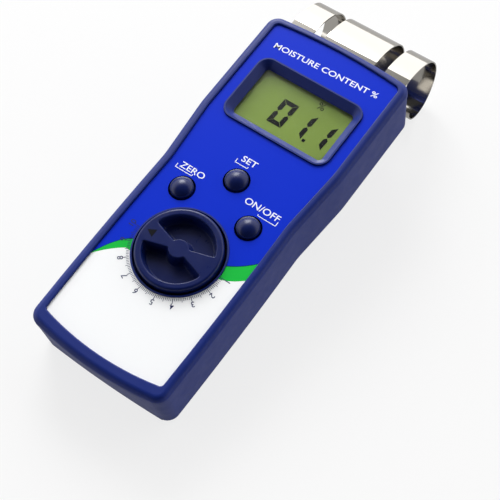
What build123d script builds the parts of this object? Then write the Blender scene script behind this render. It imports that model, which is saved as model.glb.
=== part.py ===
"""Contact moisture meter for timber and floors, with three sprung electrode loops.

Frame: millimetres, +Z up out of the display face, +Y towards the electrodes, +X to the right.
The origin is the middle of the flat back of the case. The electrode loops reach below it.
"""
import os
from math import cos, radians, sin

from build123d import *

os.makedirs("parts", exist_ok=True)

# ---------------------------------------------------------------- driving dimensions
case_length = 155.0
grip_half = 29.3            # half width of the grip
grip_belly = 0.45           # the grip swells by this much at its middle
head_half = 31.5            # half width of the head
wall = 2.0
corner_radius = 5.0
tail_bow, head_bow = 2.9, 1.7   # how far the ends bulge
label_z = 23.0              # outer face of the front label
label_thickness = 0.3
bead_side, bead_tail, bead_head = 3.6, 5.2, 3.0   # width of the raised bead round the label
bead_rise = 0.8
bead_bottom_z = 20.2        # the side wall is set back below this height
bead_step = 0.15
split_z = 13.5              # parting line between the two case halves
foot_lean, foot_bow = 2.4, 0.9  # the tail wall leans in to a flatter line at the back
floor_thickness = 2.6
plate_under_z = 20.7        # inside face of the front cover

dial_y = -26.0
dial_hole_radius = 17.7
well_radius = 17.0
well_floor_z = 17.2
knob_radius = 16.0
knob_bottom_z = 17.6
knob_top_z = 25.6
knob_recess_depth = 4.6
shaft_radius = 3.0
running_gap = 0.06          # radial clearance round the turning shaft

button_places = {"zero": (-14.8, -5.1), "set": (0.0, 8.2), "on_off": (14.8, -5.1)}
button_radius = 4.35
button_hole_radius = 5.1
button_top_z = 25.4

display_y = 43.6            # middle of the display opening
window_half_x, window_half_y = 19.4, 11.35
bezel_half_x, bezel_half_y = 23.3, 14.9
bezel_rise = 0.7

board_z = 13.0              # underside of the main board
board_thickness = 1.6
board_half_x = 21.5
board_tail_y, board_head_y = -42.0, 60.6

strip_thickness = 0.5       # spring steel of the electrodes
strip_z = 15.54             # middle plane of the strips where they leave the case
strip_places = {"left": (-21.5, 10.0), "centre": (0.0, 23.0), "right": (21.5, 10.0)}
hinge_y = 75.6              # the loops flex about this line inside their slots
crease_y = 82.6             # where the flat strip bends into the loop
loop_start = (83.6, 15.4)   # where the first arc of the loop begins
loop_heading = -8.3         # direction of the strip there, in degrees from +Y
loop_arcs = ((29.5, 24.3), (17.4, 105.0), (8.3, 141.4))   # radius and turn of each arc

battery_size = (46.4, 25.6, 16.6)
battery_middle_y = -59.7
battery_bottom_z = 3.4
door_half = 25.2            # outer half width of the battery door
door_thickness = 1.5
door_inner_y = -44.6
door_gap = 0.3
door_lean = 1.2             # the door's edges lean out by this much over the depth of its bed

# screws: radius of the thread, of the pilot hole it cuts into, of its head, and head height
case_screw = {"thread": 1.15, "clear": 1.6, "head": 2.4, "head_height": 1.6, "length": 17.6}
board_screw = {"thread": 0.9, "clear": 1.1, "head": 1.9, "head_height": 1.4, "length": 5.6}
clamp_screw = {"thread": 1.1, "clear": 1.3, "head": 2.2, "head_height": 1.4, "length": 8.0}

# ---------------------------------------------------------------- derived values
upwards = (Align.CENTER, Align.CENTER, Align.MIN)       # a primitive that stands on its place
downwards = (Align.CENTER, Align.CENTER, Align.MAX)     # a primitive that hangs from its place
tail_y = -case_length / 2
head_y = case_length / 2
label_under_z = label_z - label_thickness
bead_top_z = label_z + bead_rise
board_top_z = board_z + board_thickness
flare_start_y, flare_end_y = 3.0, 29.0
flare_radius = 40.0
case_screw_places = [(x, y) for y, x in ((-40.5, 23.2), (52.0, 24.8)) for x in (-x, x)]
board_screw_places = [(x, y) for y, x in ((8.0, 18.3), (58.8, 16.0)) for x in (-x, x)]
clamp_screw_places = [(-14.0, 67.5), (14.0, 67.5)]
base_top_z = strip_z - strip_thickness / 2
clamp_bottom_z = strip_z + strip_thickness / 2
clamp_height, clamp_y = 3.4, 68.2
clamp_top_z = clamp_bottom_z + clamp_height


def save(part, name):
    """Label a finished piece and write it as one STEP file."""
    part.label = name
    export_step(part, f"parts/{name}.step")


def case_outline(side, tail=None, head=None, bow=tail_bow, tail_radius=None, head_radius=None):
    """Plan outline of the case, set in by the given amounts: bowed ends, a slightly bellied
    grip and a wider head. One amount alone sets every side in alike."""
    tail = side if tail is None else tail
    head = side if head is None else head
    grip_x, head_x = grip_half - side, head_half - side
    tail_end, head_end = tail_y + tail, head_y - head
    tail_corner, head_corner = tail_end + bow, head_end - head_bow
    with BuildSketch() as face:
        with BuildLine():
            ThreePointArc((-grip_x, tail_corner), (0, tail_end), (grip_x, tail_corner))
            ThreePointArc((-head_x, head_corner), (0, head_end), (head_x, head_corner))
            for hand in (-1, 1):
                ThreePointArc(
                    (hand * grip_x, tail_corner),
                    (hand * (grip_x + grip_belly), (tail_corner + flare_start_y) / 2),
                    (hand * grip_x, flare_start_y),
                )
                Line((hand * grip_x, flare_start_y), (hand * head_x, flare_end_y))
                Line((hand * head_x, flare_end_y), (hand * head_x, head_corner))
        make_face()
        flare = face.vertices().filter_by(lambda v: flare_start_y - 1 < v.Y < flare_end_y + 1)
        fillet(flare, flare_radius)
        fillet(face.vertices().group_by(Axis.Y)[0], tail_radius or corner_radius - side)
        fillet(face.vertices().group_by(Axis.Y)[-1], head_radius or corner_radius - side)
    return face.sketch


def rounded_slab(half_x, half_y, radius):
    """Rectangle with rounded corners, centred on the display."""
    with BuildSketch() as face:
        with Locations((0, display_y)):
            RectangleRounded(2 * half_x, 2 * half_y, radius)
    return face.sketch


outer_outline = case_outline(0)
wall_outline = case_outline(bead_step)
split_share = (bead_bottom_z - split_z) / bead_bottom_z     # how much of the lean is reached at the split
split_outline = case_outline(bead_step, tail=bead_step + foot_lean * split_share,
                             bow=tail_bow + (foot_bow - tail_bow) * split_share)
foot_outline = case_outline(bead_step, tail=bead_step + foot_lean, bow=foot_bow)
cavity = {"side": bead_step + wall, "tail": 3.9, "bow": 1.3}
cavity_outline = case_outline(**cavity)
tongue_step, groove_step = 0.85, 1.0       # the tongue ends this far inside the cavity's wall
tongue_outline = case_outline(cavity["side"] - tongue_step, tail=cavity["tail"] - tongue_step,
                              bow=cavity["bow"])
groove_outline = case_outline(cavity["side"] - groove_step, tail=cavity["tail"] - groove_step,
                              bow=cavity["bow"])
label_radii = {"tail_radius": 1.5, "head_radius": 2.2}
bed_outline = case_outline(bead_side, tail=bead_tail, head=bead_head, **label_radii)

# ---------------------------------------------------------------- front cover
collar_rise = 0.35          # of the dial's collar above the label
collar_gap = 0.1            # between the collar and the label
bead_round, bead_inner_round = 2.4, 0.45
label_gap = 0.1
groove_depth = 1.3
well_wall = 1.3
shaft_hole_radius = 4.2
bezel_radius, bezel_lip, bezel_taper = 5.0, 0.6, 44.0   # corner, flat top of the frame, slope inside
board_post_radius, case_post_radius = 1.9, 2.8
board_pilot_depth, case_pilot_depth = 5.0, 6.0
post_root = 0.5             # the posts run this far into the cover's plate
rib_places, rib_size, rib_gap = (-20, 0, 20), (1.2, 8), 0.05
slot_half_height, slot_length, slot_margin = 0.95, 8, 1.0
slot_middle_y = head_y - 3
through = 20                # longer than any cut goes deep
with BuildPart() as front_cover:
    with BuildSketch(Plane.XY.offset(split_z)):
        add(split_outline)
    with BuildSketch(Plane.XY.offset(bead_bottom_z)):
        add(wall_outline)
    loft(ruled=True)
    with BuildSketch(Plane.XY.offset(bead_bottom_z)):
        add(outer_outline)
    extrude(amount=bead_top_z - bead_bottom_z)
    rim = front_cover.faces().sort_by(Axis.Z)[-1].outer_wire()
    fillet(rim.edges(), bead_round)
    # hollow inside, with a wider step at the parting line for the back cover's tongue
    with BuildSketch(Plane.XY.offset(split_z)):
        add(cavity_outline)
    extrude(amount=plate_under_z - split_z, mode=Mode.SUBTRACT)
    with BuildSketch(Plane.XY.offset(split_z)):
        add(groove_outline)
    extrude(amount=groove_depth, mode=Mode.SUBTRACT)
    # shallow bed for the label
    with BuildSketch(Plane.XY.offset(label_under_z)):
        add(bed_outline)
    extrude(amount=bead_top_z - label_under_z, mode=Mode.SUBTRACT)
    bead_inner = front_cover.faces().filter_by(Plane.XY).sort_by(Axis.Z)[-1].inner_wires()
    fillet(bead_inner.edges(), bead_inner_round)
    # dial well with a thin collar that stands through the label
    with Locations((0, dial_y, well_floor_z - well_wall)):
        Cylinder(well_radius + well_wall, label_under_z - well_floor_z + well_wall, align=upwards)
        Cylinder(dial_hole_radius - collar_gap, label_z + collar_rise - well_floor_z + well_wall,
                 align=upwards)
    with Locations((0, dial_y, well_floor_z)):
        Cylinder(well_radius, through, align=upwards, mode=Mode.SUBTRACT)
    with Locations((0, dial_y, well_floor_z - well_wall - 1)):
        Cylinder(shaft_hole_radius, well_wall + 2, align=upwards, mode=Mode.SUBTRACT)
    # button holes
    with Locations(*[(x, y, plate_under_z - 1) for x, y in button_places.values()]):
        Cylinder(button_hole_radius, 5, align=upwards,
                 mode=Mode.SUBTRACT)
    # raised display frame with sloping inner faces
    with BuildSketch(Plane.XY.offset(label_under_z)):
        add(rounded_slab(bezel_half_x, bezel_half_y, bezel_radius))
    extrude(amount=label_thickness + bezel_rise)
    with BuildSketch(Plane.XY.offset(label_z + bezel_rise)):
        add(rounded_slab(bezel_half_x - bezel_lip, bezel_half_y - bezel_lip, bezel_radius - bezel_lip))
    extrude(amount=-(label_z + bezel_rise - plate_under_z), taper=bezel_taper, mode=Mode.SUBTRACT)
    # posts for the board and case screws
    with Locations(*[(x, y, board_top_z) for x, y in board_screw_places]):
        Cylinder(board_post_radius, plate_under_z - board_top_z + post_root, align=upwards)
        Cylinder(board_screw["thread"], board_pilot_depth, align=upwards, mode=Mode.SUBTRACT)
    with Locations(*[(x, y, split_z) for x, y in case_screw_places]):
        Cylinder(case_post_radius, plate_under_z - split_z + post_root, align=upwards)
        Cylinder(case_screw["thread"], case_pilot_depth, align=upwards, mode=Mode.SUBTRACT)
    # ribs that hold the electrode clamp down
    with Locations(*[(x, clamp_y, clamp_top_z + rib_gap) for x in rib_places]):
        Box(*rib_size, plate_under_z - clamp_top_z, align=upwards)
    # slots for the electrode strips
    for x, width in strip_places.values():
        with Locations((x, slot_middle_y, strip_z)):
            Box(width + slot_margin, slot_length, 2 * slot_half_height, mode=Mode.SUBTRACT)
save(front_cover.part, "front_cover")

# ---------------------------------------------------------------- front label
bezel_gap = 0.15            # between the label and the display frame
with BuildPart() as front_label:
    with BuildSketch(Plane.XY.offset(label_under_z)):
        add(case_outline(bead_side + label_gap, tail=bead_tail + label_gap, head=bead_head + label_gap,
                         **label_radii))
        with Locations((0, dial_y)):
            Circle(dial_hole_radius, mode=Mode.SUBTRACT)
        with Locations(*button_places.values()):
            Circle(button_hole_radius, mode=Mode.SUBTRACT)
        add(rounded_slab(bezel_half_x + bezel_gap, bezel_half_y + bezel_gap, bezel_radius + bezel_gap),
            mode=Mode.SUBTRACT)
    extrude(amount=label_thickness)
save(front_label.part, "front_label")

# ---------------------------------------------------------------- back cover
pocket_depth = door_thickness + 0.2
pocket_half = door_half + door_gap
foot_round = 0.9
tongue_rise, tongue_root = 1.0, 0.5         # above the parting line, and down into the wall
partition_y, partition_size = -44.9, (52.0, 1.2, 12.8)
notch_x, notch_z, notch_size = 13.5, 7.0, (5.4, 3, 9.0)     # lets the battery leads through
battery_opening = (49.2, 26.8)
past_tail = 40                              # the dovetail bed runs out through the tail
pillar_radius, pillar_foot_z = 3.0, 0.5
counterbore_radius, counterbore_depth = 2.6, 2.2
peg_radius, peg_height, peg_root = 1.5, 3.2, 0.2
peg_places = [(-21, 67.5), (21, 67.5)]
with BuildPart() as back_cover:
    with BuildSketch():
        add(foot_outline)
    with BuildSketch(Plane.XY.offset(split_z)):
        add(split_outline)
    loft(ruled=True)
    fillet(back_cover.faces().sort_by(Axis.Z)[0].outer_wire().edges(), foot_round)
    with BuildSketch(Plane.XY.offset(floor_thickness)):
        add(cavity_outline)
    extrude(amount=split_z, mode=Mode.SUBTRACT)
    # tongue that stands up inside the front cover
    with BuildSketch(Plane.XY.offset(split_z - tongue_root)):
        add(tongue_outline)
        add(cavity_outline, mode=Mode.SUBTRACT)
    extrude(amount=tongue_root + tongue_rise)
    # battery compartment: partition, opening and the dovetail bed of the door
    with Locations((0, partition_y, floor_thickness)):
        Box(*partition_size, align=upwards)
    with Locations((notch_x, partition_y, notch_z)):
        Box(*notch_size, align=upwards, mode=Mode.SUBTRACT)
    with Locations((0, battery_middle_y, 0)):
        Box(*battery_opening, 2 * floor_thickness, mode=Mode.SUBTRACT)
    with BuildSketch(Plane.XZ.offset(-door_inner_y)):
        with BuildLine():
            Polyline((pocket_half, 0), (pocket_half + door_lean, pocket_depth),
                     (-pocket_half - door_lean, pocket_depth), (-pocket_half, 0), close=True)
        make_face()
    extrude(amount=past_tail, mode=Mode.SUBTRACT)
    # screw pillars with counterbored holes from behind
    with Locations(*[(x, y, pillar_foot_z) for x, y in case_screw_places]):
        Cylinder(pillar_radius, split_z - pillar_foot_z, align=upwards)
    with Locations(*[(x, y, 0) for x, y in case_screw_places]):
        Cylinder(case_screw["clear"], 2 * split_z + 1, mode=Mode.SUBTRACT)
        Cylinder(counterbore_radius, counterbore_depth, align=upwards, mode=Mode.SUBTRACT)
    # pegs that locate the electrode base
    with Locations(*[(x, y, floor_thickness - peg_root) for x, y in peg_places]):
        Cylinder(peg_radius, peg_height, align=upwards)
save(back_cover.part, "back_cover")

# ---------------------------------------------------------------- battery door
door_top_half = door_half + door_lean * door_thickness / pocket_depth
groove_first_y, groove_pitch, groove_size = -52.0, 2.2, (14, 0.9, 1.0)
with BuildPart() as battery_door:
    with BuildSketch(Plane.XZ.offset(-door_inner_y + door_gap)):
        with BuildLine():
            Polyline((door_half, 0), (door_top_half, door_thickness), (-door_top_half, door_thickness),
                     (-door_half, 0), close=True)
        make_face()
    extrude(amount=past_tail)
    with BuildSketch():
        add(foot_outline)
    with BuildSketch(Plane.XY.offset(split_z)):
        add(split_outline)
    loft(ruled=True, mode=Mode.INTERSECT)
    # thumb grooves
    with Locations(*[(0, groove_first_y - groove_pitch * i, 0) for i in range(4)]):
        Box(*groove_size, mode=Mode.SUBTRACT)
save(battery_door.part, "battery_door")

# ---------------------------------------------------------------- display
window_thickness = 1.0
window_lap_x, window_lap_y, window_radius = 1.4, 1.2, 1.0   # behind the frame on each side, and corner
with BuildPart() as display_window:
    with BuildSketch(Plane.XY.offset(plate_under_z - window_thickness)):
        add(rounded_slab(window_half_x + window_lap_x, window_half_y + window_lap_y, window_radius))
    extrude(amount=window_thickness)
save(display_window.part, "display_window")

glass_half_x, glass_half_y = 20.6, 12.3
glass_bottom_z, glass_thickness = 17.3, 2.2
holder_wall, holder_height, holder_gap = 0.9, 4.8, 0.05
contact_size, contact_offset_y = (38.0, 2.0), 10.6
with BuildPart() as lcd_panel:
    with Locations((0, display_y, glass_bottom_z)):
        Box(2 * glass_half_x, 2 * glass_half_y, glass_thickness, align=upwards)
save(lcd_panel.part, "lcd_panel")

with BuildPart() as lcd_holder:
    with Locations((0, display_y, board_top_z)):
        Box(2 * (glass_half_x + holder_wall), 2 * (glass_half_y + holder_wall), holder_height, align=upwards)
        Box(2 * (glass_half_x + holder_gap), 2 * (glass_half_y + holder_gap), through,
            align=upwards, mode=Mode.SUBTRACT)
save(lcd_holder.part, "lcd_holder")

with BuildPart() as contact_strips:
    for y in (display_y - contact_offset_y, display_y + contact_offset_y):
        with Locations((0, y, board_top_z)):
            Box(*contact_size, glass_bottom_z - board_top_z, align=upwards)
save(contact_strips.part, "contact_strips")

# ---------------------------------------------------------------- main board and what it carries
tail_board_half, board_step_y = 17.6, -12      # the board is narrower below this line
sensor_neck_radius = 3.8
with BuildPart() as main_board:
    with BuildSketch(Plane.XY.offset(board_z)):
        with Locations((0, (board_head_y + board_step_y) / 2)):
            Rectangle(2 * board_half_x, board_head_y - board_step_y)
        with Locations((0, (board_tail_y + board_step_y) / 2)):
            Rectangle(2 * tail_board_half, board_step_y - board_tail_y)
        with Locations((0, dial_y)):
            Circle(sensor_neck_radius + 0.1, mode=Mode.SUBTRACT)
        with Locations(*board_screw_places):
            Circle(board_screw["clear"], mode=Mode.SUBTRACT)
    extrude(amount=board_thickness)
save(main_board.part, "main_board")

# name: middle x and y, size x, y and z, all under the board
chips = {
    "processor_chip": (0.0, 34.0, 12.0, 12.0, 2.0),
    "driver_chip": (0.0, 16.0, 7.6, 12.8, 2.2),
    "trimmer": (14.5, 22.0, 6.6, 6.6, 4.6),
}
chip_chamfer = 0.3
for name, (x, y, size_x, size_y, size_z) in chips.items():
    with BuildPart() as chip:
        with Locations((x, y, board_z)):
            Box(size_x, size_y, size_z, align=downwards)
        chamfer(chip.faces().sort_by(Axis.Z)[0].edges(), chip_chamfer)
    save(chip.part, name)

coil_y, coil_radius, coil_height = 50.5, 5.0, 7.0
coil_core_radius, winding_radius, winding_height, coil_flange = 3.6, 4.7, 4.6, 1.2
with BuildPart() as oscillator_coil:
    with Locations((0, coil_y, board_z)):
        Cylinder(coil_radius, coil_height, align=downwards)
    with Locations((0, coil_y, board_z - coil_flange)):
        Cylinder(coil_radius + 1, winding_height, align=downwards, mode=Mode.SUBTRACT)
        Cylinder(coil_core_radius, winding_height, align=downwards)
save(oscillator_coil.part, "oscillator_coil")

with BuildPart() as coil_winding:
    with Locations((0, coil_y, board_z - coil_flange)):
        Cylinder(winding_radius, winding_height, align=downwards)
        Cylinder(coil_core_radius, winding_height, align=downwards, mode=Mode.SUBTRACT)
save(coil_winding.part, "coil_winding")

crystal_place, crystal_size, crystal_height = (-14.0, 34.0), (11.0, 4.6), 3.4
with BuildPart() as crystal:
    with BuildSketch(Plane.XY.offset(board_z)):
        with Locations(crystal_place):
            SlotOverall(*crystal_size)
    extrude(amount=-crystal_height)
save(crystal.part, "crystal")

capacitor_places = [(-14.5, 20.0), (-14.5, 46.0), (14.0, 46.0)]
capacitor_radius, capacitor_height = 3.1, 6.2
with BuildPart() as capacitors:
    with Locations(*[(x, y, board_z) for x, y in capacitor_places]):
        Cylinder(capacitor_radius, capacitor_height, align=downwards)
save(capacitors.part, "capacitors")

# ---------------------------------------------------------------- dial: knob, shaft and sensor
bar_half_end, bar_half_hub, hub_radius, recess_radius = 4.7, 1.55, 3.6, 13.4
bar_end_x, recess_far_y = 14, 15            # the recess sketch reaches past the circle that trims it
recess_round, recess_taper, knob_round = 0.8, 12, 1.0
pointer_tip_x, pointer_base_x, pointer_half, pointer_depth = -14.0, -10.8, 1.5, 0.3
knob_rim_inner, knob_boss_radius, knob_hollow_depth, bore_depth = 14.6, 6.0, 1.8, 2.6
shaft_flat = 1.5                            # distance of the shaft's flat from its axis
flat_cut = (10, 4.0)
with BuildPart() as dial_knob:
    with Locations((0, dial_y, knob_bottom_z)):
        Cylinder(knob_radius, knob_top_z - knob_bottom_z, align=upwards)
    fillet(dial_knob.edges().sort_by(Axis.Z)[-1], knob_round)
    # two finger recesses, one each side of the grip bar and its round hub
    for side in (-1, 1):
        with BuildSketch(Plane.XY.offset(knob_top_z)) as recess:
            with Locations((0, dial_y)):
                Polygon((-bar_end_x, side * bar_half_end), (-hub_radius, side * bar_half_hub),
                        (hub_radius, side * bar_half_hub), (bar_end_x, side * bar_half_end),
                        (bar_end_x, side * recess_far_y), (-bar_end_x, side * recess_far_y), align=None)
                Circle(recess_radius, mode=Mode.INTERSECT)
                Circle(hub_radius, mode=Mode.SUBTRACT)
            fillet(recess.vertices().filter_by(lambda v: abs(v.X) > 2 * hub_radius), recess_round)
        extrude(amount=-knob_recess_depth, taper=recess_taper, mode=Mode.SUBTRACT)
    # pointer
    with BuildSketch(Plane.XY.offset(knob_top_z)):
        with Locations((0, dial_y)):
            Polygon((pointer_tip_x, 0), (pointer_base_x, pointer_half), (pointer_base_x, -pointer_half),
                    align=None)
    extrude(amount=-pointer_depth, mode=Mode.SUBTRACT)
    # hollow underside and the shaft's bore, flat on one side
    with BuildSketch(Plane.XY.offset(knob_bottom_z)):
        with Locations((0, dial_y)):
            Circle(knob_rim_inner)
            Circle(knob_boss_radius, mode=Mode.SUBTRACT)
    extrude(amount=knob_hollow_depth, mode=Mode.SUBTRACT)
    with BuildSketch(Plane.XY.offset(knob_bottom_z)):
        with Locations((0, dial_y)):
            Circle(shaft_radius)
            with Locations((0, shaft_flat + flat_cut[1] / 2)):
                Rectangle(*flat_cut, mode=Mode.SUBTRACT)
    extrude(amount=bore_depth, mode=Mode.SUBTRACT)
save(dial_knob.part, "dial_knob")

shaft_bottom_z, shaft_length, shaft_flat_length = 9.0, 11.0, 2.7
shaft_top_z = shaft_bottom_z + shaft_length
with BuildPart() as dial_shaft:
    with Locations((0, dial_y, shaft_bottom_z)):
        Cylinder(shaft_radius, shaft_length, align=upwards)
    with Locations((0, dial_y + shaft_flat + flat_cut[1] / 2, shaft_top_z - shaft_flat_length)):
        Box(*flat_cut, shaft_flat_length + 1, align=upwards, mode=Mode.SUBTRACT)
save(dial_shaft.part, "dial_shaft")

sensor_bottom_z, sensor_radius, sensor_height = 7.4, 8.4, 8.3
sensor_bore_z = 8.6
with BuildPart() as dial_sensor:
    with Locations((0, dial_y, sensor_bottom_z)):
        Cylinder(sensor_radius, board_z - sensor_bottom_z, align=upwards)
        Cylinder(sensor_neck_radius, sensor_height, align=upwards)
    with Locations((0, dial_y, sensor_bore_z)):
        Cylinder(shaft_radius + running_gap, through, align=upwards,
                 mode=Mode.SUBTRACT)
save(dial_sensor.part, "dial_sensor")

# ---------------------------------------------------------------- buttons and their switches
flange_top_z = plate_under_z - 0.3
flange_bottom_z = flange_top_z - 1.0
flange_radius, button_round = 6.0, 2.2
switch_size, switch_bore_radius, switch_bore_floor = (6.0, 6.0, 3.5), 1.8, 1.4
plunger_radius, plunger_length = 1.74, 2.4
for name, (x, y) in button_places.items():
    with BuildPart() as cap:
        with Locations((x, y, flange_bottom_z)):
            Cylinder(flange_radius, flange_top_z - flange_bottom_z, align=upwards)
            Cylinder(button_radius, button_top_z - flange_bottom_z,
                     align=upwards)
        fillet(cap.edges().sort_by(Axis.Z)[-1], button_round)
    save(cap.part, f"{name}_button")

    with BuildPart() as switch:
        with Locations((x, y, board_top_z)):
            Box(*switch_size, align=upwards)
        with Locations((x, y, board_top_z + switch_bore_floor)):
            Cylinder(switch_bore_radius, through, align=upwards, mode=Mode.SUBTRACT)
    save(switch.part, f"{name}_switch")

    with BuildPart() as plunger:
        with Locations((x, y, flange_bottom_z)):
            Cylinder(plunger_radius, plunger_length, align=downwards)
    save(plunger.part, f"{name}_plunger")

# ---------------------------------------------------------------- electrodes
tab_y = 61.4                # inner end of the tabs
tab_shrink = 1.0
hinge_gap = 0.15
crease_radius = 1.2
base_y, base_size, peg_gap = 66.8, (53.6, 11.2), 0.05
pilot_depth, clamp_length_y = 5.0, 8.4
with BuildPart() as electrode_base:
    with BuildSketch(Plane.XY.offset(floor_thickness)):
        with Locations((0, base_y)):
            Rectangle(*base_size)
        with Locations(*peg_places):
            Circle(peg_radius + peg_gap, mode=Mode.SUBTRACT)
    extrude(amount=base_top_z - floor_thickness)
    with Locations(*[(x, y, base_top_z) for x, y in clamp_screw_places]):
        Cylinder(clamp_screw["thread"], pilot_depth, align=downwards, mode=Mode.SUBTRACT)
save(electrode_base.part, "electrode_base")

with BuildPart() as electrode_clamp:
    with Locations((0, clamp_y, clamp_bottom_z)):
        Box(base_size[0], clamp_length_y, clamp_height, align=upwards)
    with Locations(*[(x, y, clamp_bottom_z) for x, y in clamp_screw_places]):
        Cylinder(clamp_screw["clear"], through, mode=Mode.SUBTRACT)
save(electrode_clamp.part, "electrode_clamp")

for name, (x, width) in strip_places.items():
    # soldered tab that the loop grows from, clamped inside the head
    with BuildPart() as tab:
        with Locations((x, (tab_y + hinge_y - hinge_gap) / 2, strip_z)):
            Box(width - tab_shrink, hinge_y - hinge_gap - tab_y, strip_thickness)
    save(tab.part, f"{name}_tab")

    # the loop: out of the slot, up to the crease, round and back under itself
    with BuildPart() as loop:
        with BuildSketch(Plane.YZ.offset(x - width / 2)):
            with BuildLine() as path:
                FilletPolyline((hinge_y + hinge_gap, strip_z), (crease_y, strip_z), loop_start,
                               radius=crease_radius)
                heading = loop_heading
                end = Vector(*loop_start)
                for radius, turn in loop_arcs:
                    direction = (cos(radians(heading)), sin(radians(heading)))
                    arc = JernArc(end, direction, radius, -turn)
                    end = arc @ 1
                    heading -= turn
            trace(path.line, line_width=strip_thickness)
        extrude(amount=width)
    save(loop.part, f"{name}_electrode")

tab_lead_radius, tab_lead_bend = 0.6, 2.0
lead_start_y, lead_leave_y, lead_land_y, lead_end_y = 63.8, 60.9, 58.9, 57.3
lead_spread = 0.9           # the leads stand in from the strips' middles by this share
for name, (x, width) in strip_places.items():
    # soldered on the tab at one end and on the board's upper face at the other
    lead_x = lead_spread * x
    on_tab_z, on_board_z = clamp_bottom_z + tab_lead_radius, board_top_z + tab_lead_radius
    with BuildPart() as lead:
        with BuildLine() as route:
            FilletPolyline((lead_x, lead_start_y, on_tab_z), (lead_x, lead_leave_y, on_tab_z),
                           (lead_x, lead_land_y, on_board_z), (lead_x, lead_end_y, on_board_z),
                           radius=tab_lead_bend)
        with BuildSketch(Plane(route.line @ 0, z_dir=route.line % 0)):
            Circle(tab_lead_radius)
        sweep()
    save(lead.part, f"{name}_lead")

# ---------------------------------------------------------------- battery and its connection
battery_x, battery_round = -0.6, 1.5
terminal_pitch, terminal_radius, terminal_height = 12.7, 2.8, 1.6
with BuildPart() as battery:
    with Locations((battery_x, battery_middle_y, battery_bottom_z)):
        Box(*battery_size, align=upwards)
    fillet(battery.edges().filter_by(Axis.X), battery_round)
save(battery.part, "battery")

battery_end_x = battery_x + battery_size[0] / 2
terminal_z = battery_bottom_z + battery_size[2] / 2
terminal_places = [(battery_end_x, battery_middle_y + hand * terminal_pitch / 2, terminal_z)
                   for hand in (-1, 1)]
with BuildPart() as battery_terminals:
    for place in terminal_places:
        with BuildSketch(Plane(place, z_dir=(1, 0, 0))):
            Circle(terminal_radius)
        extrude(amount=terminal_height)
save(battery_terminals.part, "battery_terminals")

snap_x = battery_end_x + 0.3
snap_size, snap_round, snap_socket_depth = (3.2, 22.0, 11.0), 2.0, 1.4
with BuildPart() as battery_snap:
    with Locations((snap_x, battery_middle_y, terminal_z)):
        Box(*snap_size, align=(Align.MIN, Align.CENTER, Align.CENTER))
    for place in terminal_places:
        with BuildSketch(Plane((snap_x, place[1], place[2]), z_dir=(1, 0, 0))):
            Circle(terminal_radius)
        extrude(amount=snap_socket_depth, mode=Mode.SUBTRACT)
    fillet(battery_snap.edges().filter_by(Axis.X).group_by(SortBy.LENGTH)[-1], snap_round)
save(battery_snap.part, "battery_snap")

pad_size = (36.0, 20.0)
with BuildPart() as battery_pad:
    with Locations((battery_x, battery_middle_y, battery_bottom_z + battery_size[2])):
        Box(*pad_size, plate_under_z - battery_bottom_z - battery_size[2], align=upwards)
save(battery_pad.part, "battery_pad")

snap_end_y = battery_middle_y + snap_size[1] / 2
snap_lead_radius, snap_lead_bend = 0.65, 0.9
snap_lead_x = 24.1
corner_y, rise_y, land_y, solder_y = -46.2, -41.0, -38.4, -36.4   # where each straight run ends
board_lead_z = board_z - snap_lead_radius
# name: height below the board of the run along the battery, and x of the run past the partition
snap_leads = {"red": (board_lead_z - 1.5, 15.0), "black": (board_lead_z - 3.2, 12.8)}
for name, (level, turn_x) in snap_leads.items():
    with BuildPart() as lead:
        with BuildLine() as route:
            FilletPolyline((snap_lead_x, snap_end_y, level), (snap_lead_x, corner_y, level),
                           (turn_x, corner_y, level), (turn_x, rise_y, level), (turn_x, land_y, board_lead_z),
                           (turn_x, solder_y, board_lead_z), radius=snap_lead_bend)
        with BuildSketch(Plane(route.line @ 0, z_dir=route.line % 0)):
            Circle(snap_lead_radius)
        sweep()
    save(lead.part, f"battery_lead_{name}")

# ---------------------------------------------------------------- fasteners
case_head_z, cross_long, cross_short, cross_depth = 0.6, 2.6, 0.5, 1.2
with BuildPart() as case_screws:
    with Locations(*[(x, y, case_head_z) for x, y in case_screw_places]):
        Cylinder(case_screw["head"], case_screw["head_height"], align=upwards)
        Cylinder(case_screw["thread"], case_screw["length"], align=upwards)
        Box(cross_long, cross_short, cross_depth, mode=Mode.SUBTRACT)
        Box(cross_short, cross_long, cross_depth, mode=Mode.SUBTRACT)
save(case_screws.part, "case_screws")

with BuildPart() as board_screws:
    with Locations(*[(x, y, board_z) for x, y in board_screw_places]):
        Cylinder(board_screw["head"], board_screw["head_height"], align=downwards)
        Cylinder(board_screw["thread"], board_screw["length"], align=upwards)
save(board_screws.part, "board_screws")

with BuildPart() as clamp_screws:
    with Locations(*[(x, y, clamp_top_z) for x, y in clamp_screw_places]):
        Cylinder(clamp_screw["head"], clamp_screw["head_height"], align=upwards)
        Cylinder(clamp_screw["thread"], clamp_screw["length"], align=downwards)
save(clamp_screws.part, "clamp_screws")
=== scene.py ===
from math import atan2, cos, pi, radians, sin

import bpy
import numpy as np
from mathutils import Matrix, Vector


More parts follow.
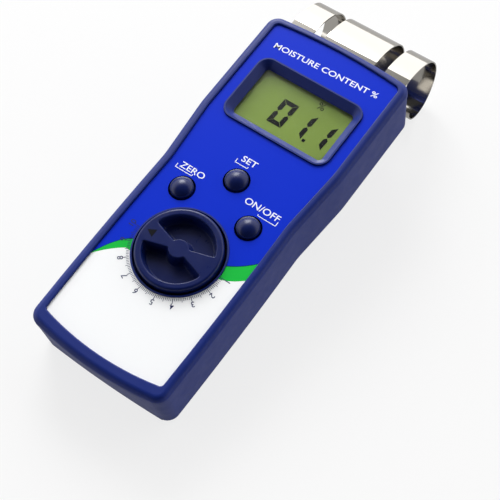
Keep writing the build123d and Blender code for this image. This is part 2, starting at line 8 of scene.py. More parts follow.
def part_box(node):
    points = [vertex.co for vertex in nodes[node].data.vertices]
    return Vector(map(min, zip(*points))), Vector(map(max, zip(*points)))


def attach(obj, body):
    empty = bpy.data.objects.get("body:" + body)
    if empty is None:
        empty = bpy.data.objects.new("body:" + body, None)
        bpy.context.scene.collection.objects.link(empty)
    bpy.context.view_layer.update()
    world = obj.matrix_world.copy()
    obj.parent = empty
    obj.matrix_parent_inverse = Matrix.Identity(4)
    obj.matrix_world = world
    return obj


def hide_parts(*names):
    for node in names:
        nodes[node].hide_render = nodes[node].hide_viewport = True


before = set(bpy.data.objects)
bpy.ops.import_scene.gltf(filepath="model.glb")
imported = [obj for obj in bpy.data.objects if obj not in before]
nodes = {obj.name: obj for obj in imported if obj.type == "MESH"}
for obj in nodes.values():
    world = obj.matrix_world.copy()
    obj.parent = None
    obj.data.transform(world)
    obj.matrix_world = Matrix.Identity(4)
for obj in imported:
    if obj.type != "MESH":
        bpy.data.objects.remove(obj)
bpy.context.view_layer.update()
mm = 0.001

# ---- Case halves and battery door ----------------------------------------------------------
# Two halves and a sliding door, injection moulded in navy ABS and held by four screws from
# behind. The mould was spark eroded, which leaves a fine satin grain on every outer face.


def linear(code):
    """Turns an sRGB hex colour into linear red, green, blue and alpha, by the sRGB curve."""
    channels = np.array([int(code[i:i + 2], 16) for i in (1, 3, 5)]) / 255
    low, high = channels / 12.92, ((channels + 0.055) / 1.055) ** 2.4
    return (*np.where(channels <= 0.04045, low, high).tolist(), 1.0)


def node(tree, kind, sockets=None, **settings):
    """Adds one node. Settings are its properties; sockets holds plain values or outputs to link."""
    made = tree.nodes.new(kind)
    for name, value in settings.items():
        setattr(made, name, value)
    for name, value in (sockets or {}).items():
        if isinstance(value, bpy.types.NodeSocket):
            tree.links.new(value, made.inputs[name])
        else:
            made.inputs[name].default_value = value
    return made


def new_material(name, sockets):
    """Starts a material: one Principled shader with its plain values, wired to the output."""
    made = bpy.data.materials.new(name)
    made.use_nodes = True
    made.node_tree.nodes.clear()
    shader = node(made.node_tree, "ShaderNodeBsdfPrincipled", sockets)
    node(made.node_tree, "ShaderNodeOutputMaterial", {"Surface": shader.outputs[0]})
    return made, made.node_tree, shader


def moulded_plastic(name, dark, light, roughness, ior, gleam, grain, depth):
    """Moulded plastic: cloudy colour between two tones, handling marks in the gloss and, with the
    given size and depth, the grain that the mould leaves."""
    made, tree, shader = new_material(name, {"IOR": ior, "Specular IOR Level": gleam})
    place = node(tree, "ShaderNodeTexCoord").outputs["Object"]
    clouds = node(tree, "ShaderNodeTexNoise", {"Vector": place, "Scale": 1 / (14 * mm), "Detail": 4})
    tone = node(tree, "ShaderNodeMix", {0: clouds.outputs[0], 6: linear(dark), 7: linear(light)},
                data_type="RGBA")
    tree.links.new(tone.outputs[2], shader.inputs["Base Color"])
    marks = node(tree, "ShaderNodeTexNoise", {"Vector": place, "Scale": 1 / (5 * mm), "Detail": 6,
                                              "Roughness": 0.65})
    gloss = node(tree, "ShaderNodeMapRange", {"Value": marks.outputs[0], "From Min": 0.3, "From Max": 0.7,
                                              "To Min": roughness - 0.04, "To Max": roughness + 0.05})
    tree.links.new(gloss.outputs[0], shader.inputs["Roughness"])
    pits = node(tree, "ShaderNodeTexNoise", {"Vector": place, "Scale": 1 / grain, "Detail": 2})
    bump = node(tree, "ShaderNodeBump", {"Height": pits.outputs[0], "Strength": 1.0, "Distance": depth})
    tree.links.new(bump.outputs[0], shader.inputs["Normal"])
    return made


def wear(piece, material):
    """Puts one material in every slot of a piece."""
    piece.data.materials.clear()
    piece.data.materials.append(material)


# ABS: IOR 1.54. Grain of 0.5 mm, coarser than the real 0.1 mm so that it shows as satin.
navy_abs = moulded_plastic("navy_abs_spark_eroded", "#11246c", "#142976", 0.44, 1.54, 0.2, 0.5 * mm,
                           0.012 * mm)
for name in ("front_cover", "back_cover", "battery_door"):
    wear(nodes[name], navy_abs)

# ---- Front label ---------------------------------------------------------------------------
# Polyester film printed from behind in royal blue, green and white, then glued into the
# shallow bed inside the bead. Its print is sharp, so the colours change at hard edges.
dial_middle = Vector((0, -26 * mm, 23 * mm))
royal_blue, leaf_green, print_white, line_navy = "#0b2ec2", "#1fb843", "#f4f5f6", "#0c1440"


def printed_film(name):
    """Polyester film: blue above the swoosh, green in it, white below, each split where y
    passes a curve of x. Each curve is a parabola on either side of the dial."""
    made, tree, shader = new_material(name, {"Roughness": 0.32, "IOR": 1.57, "Specular IOR Level": 0.06})
    place = node(tree, "ShaderNodeTexCoord").outputs["Object"]
    from_dial = node(tree, "ShaderNodeVectorMath", {0: place, 1: dial_middle[:]}, operation="SUBTRACT")
    scaled = node(tree, "ShaderNodeVectorMath", {0: from_dial.outputs[0], "Scale": 1 / mm},
                  operation="SCALE")
    axes = node(tree, "ShaderNodeSeparateXYZ", {0: scaled.outputs[0]}).outputs
    right = node(tree, "ShaderNodeMath", {0: axes[0], 1: 0.0}, operation="GREATER_THAN").outputs[0]
    width = node(tree, "ShaderNodeMath", {0: axes[0]}, operation="ABSOLUTE").outputs[0]
    outside = node(tree, "ShaderNodeMath", {0: width, 1: 17.0}, operation="SUBTRACT").outputs[0]
    past = node(tree, "ShaderNodeMath", {0: outside, 1: 0.0}, operation="MAXIMUM").outputs[0]

    def parabola(square, slope, height):
        """square * p * p + slope * p + height, with p the distance past 17 mm from the middle line."""
        lean = node(tree, "ShaderNodeMath", {0: past, 1: square, 2: slope}, operation="MULTIPLY_ADD")
        return node(tree, "ShaderNodeMath", {0: lean.outputs[0], 1: past, 2: height},
                    operation="MULTIPLY_ADD").outputs[0]

    def above(left_curve, right_curve, rise):
        """1 where y is more than rise above the curve, else 0."""
        border = node(tree, "ShaderNodeMix", {0: right, 2: parabola(*left_curve), 3: parabola(*right_curve)})
        over = node(tree, "ShaderNodeMath", {0: axes[1], 1: border.outputs[0]}, operation="SUBTRACT")
        return node(tree, "ShaderNodeMath", {0: over.outputs[0], 1: rise},
                    operation="GREATER_THAN").outputs[0]

    # the swoosh's borders, left and right of the dial: square, slope and height
    top = (-0.0934, -0.512, -5.24), (0.0311, 0.491, 4.47)
    low = (-0.0316, -0.650, -9.36), (0.0377, 0.207, -1.10)
    line_width = 0.35
    paint = linear(print_white)
    for border, rise, colour in ((low, 0.0, leaf_green), (top, 0.0, line_navy),
                                 (top, line_width, royal_blue)):
        mix = node(tree, "ShaderNodeMix", {0: above(*border, rise), 6: paint, 7: linear(colour)},
                   data_type="RGBA")
        paint = mix.outputs[2]
    tree.links.new(paint, shader.inputs["Base Color"])
    peel = node(tree, "ShaderNodeTexNoise", {"Vector": place, "Scale": 1 / (1.2 * mm), "Detail": 2})
    bump = node(tree, "ShaderNodeBump", {"Height": peel.outputs[0], "Strength": 1.0,
                                         "Distance": 0.004 * mm})
    tree.links.new(bump.outputs[0], shader.inputs["Normal"])
    return made


wear(nodes["front_label"], printed_film("printed_polyester_film"))

# ---- Print on the label --------------------------------------------------------------------
# Legends in white ink, and the dial's scale in grey-navy ink, screen printed on the film.
# The ink stands a few hundredths of a millimetre proud.
ink_rise = 0.04 * mm


def ink(name, thin, thick):
    """Screen printing ink: matt, with the fine unevenness of the mesh it was pressed through, from the
    tone where it lies thin to the tone where it lies thick."""
    made, tree, shader = new_material(name, {"IOR": 1.5, "Specular IOR Level": 0.08})
    place = node(tree, "ShaderNodeTexCoord").outputs["Object"]
    weave = node(tree, "ShaderNodeTexNoise", {"Vector": place, "Scale": 1 / (0.15 * mm)})
    tone = node(tree, "ShaderNodeMix", {0: weave.outputs[0], 6: linear(thin), 7: linear(thick)},
                data_type="RGBA")
    tree.links.new(tone.outputs[2], shader.inputs["Base Color"])
    rough = node(tree, "ShaderNodeMapRange", {"Value": weave.outputs[0], "To Min": 0.4, "To Max": 0.6})
    tree.links.new(rough.outputs[0], shader.inputs["Roughness"])
    return made


def lettering(words, height, width, thickness, weight=0.0):
    """Mesh of a line of text in the XY plane, with capitals of that height, squeezed to that width and
    with its lower left corner at the origin. The font's capitals are 0.729 of its size."""
    curve = bpy.data.curves.new(words, "FONT")
    curve.body = words
    curve.size = height / 0.729
    curve.offset = weight
    curve.extrude = thickness / 2
    curve.resolution_u = 6
    carrier = bpy.data.objects.new(words, curve)
    bpy.context.scene.collection.objects.link(carrier)
    bpy.context.view_layer.update()
    flat = bpy.data.meshes.new_from_object(carrier.evaluated_get(bpy.context.evaluated_depsgraph_get()))
    bpy.data.objects.remove(carrier)
    points = np.empty(len(flat.vertices) * 3)
    flat.vertices.foreach_get("co", points)
    points = points.reshape(-1, 3)
    points -= points.min(0)
    if width:
        points[:, 0] *= width / points[:, 0].max()
    flat.vertices.foreach_set("co", points.ravel())
    return flat


def place_mesh(name, mesh, matrix, material, body):
    """Makes a piece of a mesh, with its place in the mesh."""
    mesh.transform(matrix)
    mesh.name = name
    mesh.materials.clear()
    mesh.materials.append(material)
    piece = bpy.data.objects.new(name, mesh)
    bpy.context.scene.collection.objects.link(piece)
    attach(piece, body)
    return piece


white_ink = ink("white_screen_ink", "#dfe4f6", "#f4f6fc")
scale_ink = ink("grey_navy_screen_ink", "#343a66", "#262b52")
legend_weight = 0.035 * mm
# words, then in millimetres from the dial's middle the left end, foot, width and height, then the slope
legends = {"legend_title": ("MOISTURE CONTENT %", -22.6, 89.0, 45.5, 2.5, 2.0),
           "legend_zero": ("ZERO", -21.2, 27.6, 10.6, 2.6, 0.0),
           "legend_set": ("SET", -3.7, 41.8, 6.4, 2.6, 0.0),
           "legend_on_off": ("ON/OFF", 7.3, 28.4, 14.9, 2.7, 0.0)}
for name, (words, left, foot, width, height, slope) in legends.items():
    text = lettering(words, height * mm, width * mm, 2 * ink_rise, legend_weight)
    corner = dial_middle + Vector((left * mm, foot * mm, -ink_rise))
    turned = Matrix.Rotation(radians(slope), 4, "Z")
    place_mesh(name, text, Matrix.Translation(corner) @ turned, white_ink, "case")


def slabs(name, outlines, rise, drop, material, body):
    """Makes thin flat slabs: outlines is an array of polygons with the same number of corners. Each is
    a top at rise, a bottom at drop below it and a wall between them."""
    count, corners, _ = outlines.shape
    top = outlines + np.array((0, 0, rise))
    points = np.concatenate((top, top - np.array((0, 0, drop))), axis=1).reshape(-1, 3)
    start = 2 * corners * np.arange(count)[:, None]
    ring = np.arange(corners)
    upper = (start + ring).tolist()
    lower = (start + corners + ring[::-1]).tolist()
    after = np.roll(ring, -1)
    walls = np.stack((ring, ring + corners, after + corners, after), axis=1)
    walls = (start[:, :, None] + walls).reshape(-1, 4).tolist()
    mesh = bpy.data.meshes.new(name)
    mesh.from_pydata(points.tolist(), [], upper + lower + walls)
    mesh.update()
    return place_mesh(name, mesh, Matrix.Identity(4), material, body)


def bars(starts, ends, widths):
    """Rectangles of the given widths along the lines from starts to ends, corners anticlockwise."""
    along = ends - starts
    along /= np.linalg.norm(along, axis=1, keepdims=True)
    across = np.stack((-along[:, 1], along[:, 0], along[:, 2]), axis=1) * widths[:, None] / 2
    return np.stack((starts - across, ends - across, ends + across, starts + across), axis=1)


# the brackets that tie each legend to its button
bracket_lines = np.array((
    ((-22.3, 28.4), (-22.3, 26.8)), ((-22.3, 26.8), (-14.8, 26.8)), ((-14.8, 26.8), (-14.8, 27.5)),
    ((-5.1, 41.9), (-5.1, 40.3)), ((-5.1, 40.3), (0.3, 40.3)), ((0.3, 40.3), (0.3, 41.0)),
    ((22.3, 28.6), (22.3, 26.8)), ((22.3, 26.8), (14.6, 26.8)), ((14.6, 26.8), (14.6, 27.4)))) * mm
bracket_width = 0.3 * mm
flat_lines = np.concatenate((bracket_lines, np.zeros((len(bracket_lines), 2, 1))), axis=2)
flat_lines += np.array(dial_middle)
slabs("legend_brackets", bars(flat_lines[:, 0], flat_lines[:, 1], np.full(len(flat_lines), bracket_width)),
      ink_rise, ink_rise, white_ink, "case")

# the scale runs clockwise from 1 on the right to 10 on the left, ten ticks to a number
tick = np.arange(91)
turn = -np.radians(2.0 * tick)
reach = np.where(tick % 10 == 0, 2.1, np.where(tick % 5 == 0, 1.6, 1.0)) * mm
heading = np.stack((np.cos(turn), np.sin(turn), 0 * turn), axis=1)
scale_radius, number_radius, number_height = 18.0 * mm, 21.1 * mm, 2.2 * mm
inner = np.array(dial_middle) + heading * scale_radius
tick_widths = np.where(tick % 10 == 0, 0.22, 0.15) * mm
slabs("scale_ticks", bars(inner, inner + heading * reach[:, None], tick_widths), ink_rise, ink_rise,
      scale_ink, "case")
for number in range(1, 11):
    angle = -radians(20 * (number - 1))
    digit = lettering(str(number), number_height, 0, 2 * ink_rise, 0.02 * mm)
    width = max(v.co.x for v in digit.vertices)
    digit.transform(Matrix.Translation((-width / 2, -number_height / 2, -ink_rise)))
    outward = dial_middle + number_radius * Vector((cos(angle), sin(angle), 0))
    spin = Matrix.Rotation(angle - pi / 2, 4, "Z")
    place_mesh(f"scale_number_{number}", digit, Matrix.Translation(outward) @ spin, scale_ink, "case")

# ---- Display -------------------------------------------------------------------------------
# A liquid crystal glass between polarisers, which looks grey-green with dark segments, behind
# a clear cast acrylic window pressed into the cover.


def lcd_glass(name):
    """Reflective LCD: olive polariser over a mirror, faintly cloudy."""
    made, tree, shader = new_material(name, {"Roughness": 0.3, "IOR": 1.5, "Specular IOR Level": 0.1})
    place = node(tree, "ShaderNodeTexCoord").outputs["Object"]
    clouds = node(tree, "ShaderNodeTexNoise", {"Vector": place, "Scale": 1 / (18 * mm), "Detail": 2})
    tone = node(tree, "ShaderNodeMix", {0: clouds.outputs[0], 6: linear("#6c8038"), 7: linear("#768b42")},
                data_type="RGBA")
    tree.links.new(tone.outputs[2], shader.inputs["Base Color"])
    return made


def clear_acrylic(name):
    """Cast acrylic, IOR 1.49, polished. Rays from lamps pass straight through it."""
    made, tree, shader = new_material(name, {"Base Color": (1, 1, 1, 1), "Transmission Weight": 1.0,
                                             "IOR": 1.49, "Roughness": 0.03})
    path = node(tree, "ShaderNodeLightPath")
    clear = node(tree, "ShaderNodeBsdfTransparent", {"Color": (0.95, 0.97, 0.95, 1)})
    both = node(tree, "ShaderNodeMixShader", {0: path.outputs["Is Shadow Ray"], 1: shader.outputs[0],
                                              2: clear.outputs[0]})
    tree.links.new(both.outputs[0], tree.nodes["Material Output"].inputs["Surface"])
    return made


wear(nodes["lcd_panel"], lcd_glass("lcd_polariser"))
wear(nodes["display_window"], clear_acrylic("cast_acrylic"))

segment_ink = ink("lcd_segment", "#07090a", "#030405")
lcd_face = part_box("lcd_panel")[1].z
digit_height, digit_width, stroke, slant, hair = 11.6 * mm, 6.5 * mm, 1.9 * mm, 0.055, 0.1 * mm


def segments(lit, middle):
    """Bars of a seven-segment digit about a middle, leaning by the slant: mitred where two bars meet at
    a corner, pointed at half height. Letters a to f name the bars clockwise from the top. Each bar is
    one quarter's outline, mirrored into its own quarter."""
    half_w, half_h = digit_width / 2, digit_height / 2
    in_w, in_h = half_w - stroke, half_h - stroke
    upright = np.array(((half_w - stroke / 2, hair), (half_w, stroke / 2 + hair), (half_w, half_h - hair),
                        (in_w, in_h - hair), (in_w, stroke / 2 + hair)))
    level = np.array(((in_w - hair, in_h), (half_w - hair, half_h), (0, half_h), (hair - half_w, half_h),
                      (hair - in_w, in_h)))
    shapes = {"a": (level, (1, 1)), "b": (upright, (1, 1)), "c": (upright, (1, -1)), "d": (level, (1, -1)),
              "e": (upright, (-1, -1)), "f": (upright, (-1, 1))}
    flat = []
    for letter in lit:
        outline, mirror = shapes[letter]
        turned = outline * mirror
        flat.append(turned if mirror[0] * mirror[1] > 0 else turned[::-1])
    flat = np.array(flat)
    flat[:, :, 0] += slant * flat[:, :, 1]
    return np.concatenate((flat + np.array(middle), np.full((len(lit), 5, 1), lcd_face)), axis=2)


digit_y, segment_rise = 42.2 * mm, 0.05 * mm
for name, lit, middle_x in (("lcd_digit_0", "abcdef", -3.75 * mm), ("lcd_digit_1", "bc", 5.1 * mm),
                            ("lcd_digit_2", "bc", 13.95 * mm)):
    slabs(name, segments(lit, (middle_x, digit_y)), segment_rise, segment_rise, segment_ink, "case")
point = np.array(((0, 0, 0), (1.25, 0, 0), (1.32, 1.25, 0), (0.07, 1.25, 0)))[None] * mm
point += (8.7 * mm, digit_y - digit_height / 2 - 0.35 * mm, lcd_face)
slabs("lcd_point", point, segment_rise, segment_rise, segment_ink, "case")
percent = lettering("%", 3.4 * mm, 2.9 * mm, 2 * segment_rise)
place_mesh("lcd_percent", percent, Matrix.Translation((5.3 * mm, 50.9 * mm, lcd_face - segment_rise)),
           segment_ink, "case")

# ---- Buttons -------------------------------------------------------------------------------
# Three domed push buttons with a flange that keeps them in the case, moulded in the same navy
# as the case in a polished tool, so they are glossier.


def grid_piece(name, points, material, body):
    """Makes a closed piece from rings of points, rows by turns by 3: quads join neighbours, each ring
    closes on itself, and the first and last rings are single points."""
    rows, turns, _ = points.shape
    ring = np.arange(turns)
    after = np.roll(ring, -1)
    inner = 1 + np.arange(rows - 3)[:, None] * turns
    quads = np.stack((inner + ring, inner + turns + ring, inner + turns + after, inner + after), axis=2)
    first = np.stack((0 * ring, 1 + ring, 1 + after), axis=1)
    foot = 1 + (rows - 3) * turns
    last = np.stack((foot + after, foot + ring, 0 * ring + foot + turns), axis=1)
    flat = np.concatenate((points[0, :1], points[1:-1].reshape(-1, 3), points[-1, :1]))
    mesh = bpy.data.meshes.new(name)
    mesh.from_pydata(flat.tolist(), [], first.tolist() + quads.reshape(-1, 4).tolist() + last.tolist())
    mesh.polygons.foreach_set("use_smooth", np.ones(len(mesh.polygons), bool))
    mesh.update()
    return place_mesh(name, mesh, Matrix.Identity(4), material, body)


def arc(middle, radius, start, end, count):
    """Points of an arc in the half plane of radius and height, angles in degrees from level."""
    angle = np.radians(np.linspace(start, end, count))
    return np.stack((middle[0] + radius * np.cos(angle), middle[1] + radius * np.sin(angle)), axis=1)


def lathe(profile, middle, turns):
    """Turns a profile of (radius, height) about the upright axis through middle."""
    angle = np.linspace(0, 2 * pi, turns, endpoint=False)
    radius, height = profile[:, :1], profile[:, 1:]
    return np.stack((middle[0] + radius * np.cos(angle), middle[1] + radius * np.sin(angle),
                     height + 0 * angle), axis=2)


navy_polished = moulded_plastic("navy_abs_polished", "#0a174a", "#0c1a52", 0.3, 1.54, 0.22, 0.7 * mm,
                                0.002 * mm)
stem, rise, edge, flange_height = 4.35 * mm, 1.7 * mm, 0.35 * mm, 1.0 * mm
rim = stem - edge
for name in ("zero", "set", "on_off"):
    low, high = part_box(f"{name}_button")
    middle = (low + high) / 2
    flange = (high.x - low.x) / 2
    flange_top = low.z + flange_height
    dome = (rim ** 2 + rise ** 2) / (2 * rise)
    slope = np.degrees(np.arcsin(rim / dome))
    profile = np.concatenate((
        arc((0, high.z - dome), dome, 90, 90 - slope, 24),
        arc((rim, high.z - rise - edge * 0.4), edge, 45, 0, 5),
        ((stem, flange_top), (stem + 0.05 * mm, flange_top), (flange, flange_top), (flange, low.z),
         (flange - 0.1 * mm, low.z), (0, low.z))))
    cap = grid_piece(f"{name}_cap", lathe(profile, middle, 96), navy_polished, f"{name}_button")
    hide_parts(f"{name}_button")

# ---- Dial knob -----------------------------------------------------------------------------
# One polished navy moulding pressed on the shaft: two finger recesses leave a grip bar that
# swells at its round hub. A dark painted triangle at the bar's end points at the scale.
knob_low, knob_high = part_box("dial_knob")
knob_radius = (knob_high.x - knob_low.x) / 2
knob_middle = (knob_low + knob_high) / 2
hub_radius, recess_radius, recess_depth, wall_lean = 3.6 * mm, 13.4 * mm, 4.6 * mm, 12.0
knob_round, lip_round, foot_round = 1.0 * mm, 0.9 * mm, 2.6 * mm
bar_slope, bar_middle = 0.303, 0.46 * mm    # the bar's half width is bar_middle + bar_slope * distance


def soft_least(a, b, blend):
    """The lesser of two lengths, with the crease between them rounded over the blend."""
    mix = np.clip(0.5 + 0.5 * (b - a) / blend, 0, 1)
    return b + (a - b) * mix - blend * mix * (1 - mix)


def knob_points():
    """Rings from the centre of the top to the rim, down the side and back under. Around each ring the
    turns are spaced so that some follow the bar's edges. The top sinks by a depth that grows with the
    distance inside a recess: rounded lip, leaning wall, rounded foot, flat floor."""
    steps = np.linspace(0, 1, 26)
    crowd = (1 - np.cos(pi * steps)) / 2
    radius = np.concatenate((hub_radius * steps[1:] ** 0.7,
                             hub_radius + (recess_radius - hub_radius) * np.linspace(0, 1, 90)[1:] ** 1.25,
                             recess_radius + (knob_radius - knob_round - recess_radius) * crowd[1::3]))
    lean = np.arctan(bar_slope)
    reach = np.maximum(radius, hub_radius)
    edge = (lean + np.arcsin(bar_middle / (reach * np.hypot(1, bar_slope))))[:, None]
    across, along = np.linspace(0, 1, 14)[:-1], np.linspace(0, 1, 46)
    quarter = np.concatenate((edge * (1 - (1 - across) ** 1.5), edge + (pi / 2 - edge) * along ** 1.7),
                             axis=1)
    half = np.concatenate((quarter, pi - quarter[:, -2::-1]), axis=1)
    angle = np.concatenate((half, pi + half[:, 1:-1]), axis=1)
    x, y = radius[:, None] * np.cos(angle), radius[:, None] * np.sin(angle)
    from_bar = (np.abs(y) - bar_middle - bar_slope * np.abs(x)) / np.hypot(1, bar_slope)
    inside = soft_least(from_bar, radius[:, None] - hub_radius, lip_round)
    inside = soft_least(inside, recess_radius - radius[:, None], lip_round)
    fall = inside / np.tan(np.radians(wall_lean))
    depth = -soft_least(-fall, 0 * fall, lip_round)
    depth = soft_least(depth, recess_depth + 0 * fall, foot_round)
    top = np.stack((x, y, knob_high.z - depth), axis=2)
    rest = np.concatenate((arc((knob_radius - knob_round, knob_high.z - knob_round), knob_round, 80, 0, 9),
                           ((knob_radius, knob_low.z + 0.3 * mm), (knob_radius - 0.3 * mm, knob_low.z),
                            (0, knob_low.z))))
    outer = np.stack((rest[:, :1] * np.cos(angle[-1:]), rest[:, :1] * np.sin(angle[-1:]),
                      rest[:, 1:] + 0 * angle[-1:]), axis=2)
    centre = np.zeros((1, angle.shape[1], 3)) + (0, 0, knob_high.z)
    points = np.concatenate((centre, top, outer))
    return points + (knob_middle.x, knob_middle.y, 0)


knob = grid_piece("knob_moulding", knob_points(), navy_polished, "dial")
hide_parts("dial_knob")
pointer = np.array(((-13.9, 0), (-10.7, -1.7), (-10.7, 1.7))) * mm + (knob_middle.x, knob_middle.y)
pointer = np.concatenate((pointer, np.full((3, 1), knob_high.z)), axis=1)[None]
slabs("dial_pointer", pointer, ink_rise, 2 * ink_rise, ink("black_pad_print", "#04050c", "#080a14"),
      "dial")

# ---- Electrodes ----------------------------------------------------------------------------
# Three loops of stainless spring strip, bright rolled, that press flat on the timber.


def rolled_steel(name, colour, roughness):
    """Cold rolled stainless strip: fine lines along the strip, from the rolls."""
    made, tree, shader = new_material(name, {"Metallic": 1.0, "Base Color": linear(colour)})
    place = node(tree, "ShaderNodeTexCoord").outputs["Object"]
    stretched = node(tree, "ShaderNodeMapping", {"Vector": place, "Scale": (1 / (0.2 * mm), 1 / (12 * mm),
                                                                            1 / (12 * mm))})
    lines = node(tree, "ShaderNodeTexNoise", {"Vector": stretched.outputs[0], "Scale": 1.0, "Detail": 3})
    rough = node(tree, "ShaderNodeMapRange", {"Value": lines.outputs[0], "To Min": roughness - 0.03,
                                              "To Max": roughness + 0.03})
    tree.links.new(rough.outputs[0], shader.inputs["Roughness"])
    bump = node(tree, "ShaderNodeBump", {"Height": lines.outputs[0], "Distance": 0.0008 * mm})
    tree.links.new(bump.outputs[0], shader.inputs["Normal"])
    return made


steel = rolled_steel("stainless_spring_strip", "#bcb8b1", 0.12)
for side in ("left", "centre", "right"):
    wear(nodes[f"{side}_electrode"], steel)
    wear(nodes[f"{side}_tab"], steel)

# ---- Inside the case -----------------------------------------------------------------------
# The circuit board with its chips, coil, crystal and capacitors, the display's holder, the
# battery with its snap and leads, and the screws. Stock parts in their usual finishes.


def speckled(name, dark, light, speck, roughness, metallic=0.0):
    """A plain stock finish: two close tones mixed by noise with specks of the given size."""
    made, tree, shader = new_material(name, {"Metallic": metallic})
    place = node(tree, "ShaderNodeTexCoord").outputs["Object"]
    specks = node(tree, "ShaderNodeTexNoise", {"Vector": place, "Scale": 1 / speck, "Detail": 4})
    tone = node(tree, "ShaderNodeMix", {0: specks.outputs[0], 6: linear(dark), 7: linear(light)},
                data_type="RGBA")
    tree.links.new(tone.outputs[2], shader.inputs["Base Color"])
    rough = node(tree, "ShaderNodeMapRange", {"Value": specks.outputs[0], "To Min": roughness - 0.06,
                                              "To Max": roughness + 0.06})
    tree.links.new(rough.outputs[0], shader.inputs["Roughness"])
    return made


black_plastic = speckled("black_phenolic", "#141416", "#1d1d20", 1.5 * mm, 0.5)
steel_can = speckled("drawn_steel_can", "#b9bab8", "#cfd0cd", 4 * mm, 0.28, 1.0)
zinc = speckled("bright_zinc_plate", "#a9adb0", "#c4c8c9", 0.8 * mm, 0.32, 1.0)
copper = speckled("enamelled_copper_wire", "#8a3d1c", "#a54f26", 0.5 * mm, 0.35, 1.0)
inside = {"main_board": speckled("solder_masked_board", "#0f4a2c", "#14583a", 2 * mm, 0.35),
          "dial_sensor": speckled("blue_thermoset", "#123a86", "#18479b", 2 * mm, 0.4),
          "trimmer": speckled("blue_thermoset_trimmer", "#1c4fae", "#2259bd", 1 * mm, 0.4),
          "oscillator_coil": speckled("sintered_ferrite", "#2a2a2d", "#38383b", 0.4 * mm, 0.6),
          "battery": speckled("printed_battery_can", "#24262b", "#2d3036", 6 * mm, 0.3, 0.6),
          "battery_pad": speckled("foam_rubber", "#1c1c1c", "#282828", 0.4 * mm, 0.85),
          "contact_strips": speckled("silicone_zebra_strip", "#3a3335", "#564b4c", 0.2 * mm, 0.6),
          "battery_lead_red": speckled("red_pvc", "#a3161b", "#b51f22", 3 * mm, 0.4),
          "battery_lead_black": speckled("black_pvc", "#101012", "#1a1a1c", 3 * mm, 0.4),
          "coil_winding": copper}
for names, material in ((("left_lead", "centre_lead", "right_lead"), inside["battery_lead_black"]),
                        (("crystal", "dial_shaft", "battery_terminals"), steel_can),
                        (("case_screws", "board_screws", "clamp_screws"), zinc),
                        (("processor_chip", "driver_chip", "capacitors", "lcd_holder", "electrode_base",
                          "electrode_clamp", "battery_snap", "zero_switch", "set_switch", "on_off_switch",
                          "zero_plunger", "set_plunger", "on_off_plunger"), black_plastic)):
    for name in names:
        inside[name] = material
for name, material in inside.items():
    wear(nodes[name], material)

# ---- Floor, light and camera ---------------------------------------------------------------
# The meter rests on its tail edge and on the loops, which reach below the case, so the white
# table leans against the meter's own axes by the angle between those two contacts.
tail_contact = Vector((0, -76.6 * mm, 0))
low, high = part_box("centre_electrode")
loop_contact = Vector((0, 92.0 * mm, low.z))
lean = atan2(loop_contact.z - tail_contact.z, loop_contact.y - tail_contact.y)
level = Matrix.Translation(tail_contact) @ Matrix.Rotation(lean, 4, "X")
half = 2.0
floor_mesh = bpy.data.meshes.new("table")
floor_mesh.from_pydata([(-half, -half, 0), (half, -half, 0), (half, half, 0), (-half, half, 0)], [],
                       [(0, 1, 2, 3)])
floor_mesh.transform(level)
floor = bpy.data.objects.new("table", floor_mesh)
bpy.context.scene.collection.objects.link(floor)
paper, paper_tree, paper_shader = new_material("white_paper", {"Base Color": (0.14, 0.14, 0.14, 1),
                                                               "Roughness": 0.9,
                                                               "Specular IOR Level": 0.1,
                                                               "Emission Color": (1, 1, 1, 1)})
# the backdrop glows to white for the camera and half as much for the case, so shadows stay faint
seen = node(paper_tree, "ShaderNodeLightPath").outputs["Is Camera Ray"]
lift = node(paper_tree, "ShaderNodeMapRange", {"Value": seen, "To Min": 0.42, "To Max": 0.79})
paper_tree.links.new(lift.outputs[0], paper_shader.inputs["Emission Strength"])
wear(floor, paper)

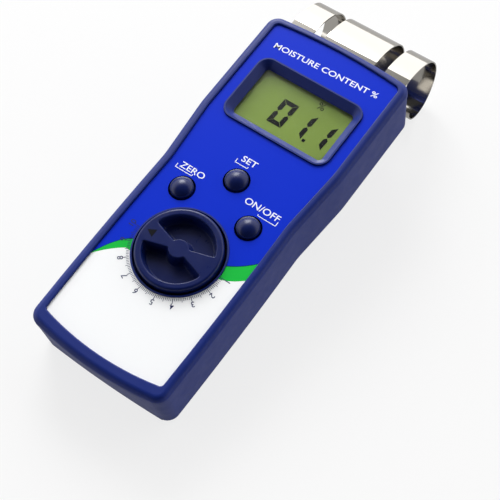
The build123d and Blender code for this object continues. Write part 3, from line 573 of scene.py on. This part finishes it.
world = bpy.data.worlds.new("soft_tent")
bpy.context.scene.world = world
world.use_nodes = True
world.node_tree.nodes.clear()
tree = world.node_tree
# white walls all round up to about 30 degrees, higher beyond the head, under a dark ceiling
direction = node(tree, "ShaderNodeTexCoord").outputs["Generated"]
height = node(tree, "ShaderNodeSeparateXYZ", {0: direction}).outputs[2]
beyond = node(tree, "ShaderNodeVectorMath", {0: direction, 1: (-0.25, 0.38, 0.0)}, operation="DOT_PRODUCT")
lowered = node(tree, "ShaderNodeMath", {0: height, 1: beyond.outputs["Value"]}, operation="SUBTRACT")
wall_glow, ceiling_glow = 2.1, 0.05
glow = node(tree, "ShaderNodeMapRange", {"Value": lowered.outputs[0], "From Min": 0.42, "From Max": 0.62,
                                         "To Min": wall_glow, "To Max": ceiling_glow},
            interpolation_type="SMOOTHSTEP")
sky = node(tree, "ShaderNodeBackground", {"Color": (1, 1, 1, 1), "Strength": glow.outputs[0]})
node(tree, "ShaderNodeOutputWorld", {"Surface": sky.outputs[0]})


def softbox(name, place, target, size, power):
    """A square area lamp that faces a target."""
    lamp = bpy.data.lights.new(name, "AREA")
    lamp.shape, lamp.size, lamp.energy = "SQUARE", size, power
    made = bpy.data.objects.new(name, lamp)
    made.location = place
    made.rotation_euler = (Vector(target) - Vector(place)).to_track_quat("-Z", "Y").to_euler()
    bpy.context.scene.collection.objects.link(made)


softbox("window", (-0.7, 0.85, 0.62), (0, 0, 0), 0.6, 16.0)

camera_data = bpy.data.cameras.new("camera")
camera_data.lens, camera_data.sensor_width = 86.4576, 36.0
camera_data.clip_start = 0.01
camera = bpy.data.objects.new("camera", camera_data)
right, up, forward = ((0.80850467, 0.58324048, -0.07842664), (-0.49665622, 0.74773909, 0.44070268),
                      (-0.3156783, 0.3173591, -0.89422056))
turned = Matrix((right, up, [-v for v in forward])).transposed().to_4x4()
camera.matrix_world = Matrix.Translation((0.1528946, -0.1449693, 0.3984952)) @ turned
bpy.context.scene.collection.objects.link(camera)
bpy.context.scene.camera = camera
bpy.context.scene.view_settings.view_transform = "Standard"
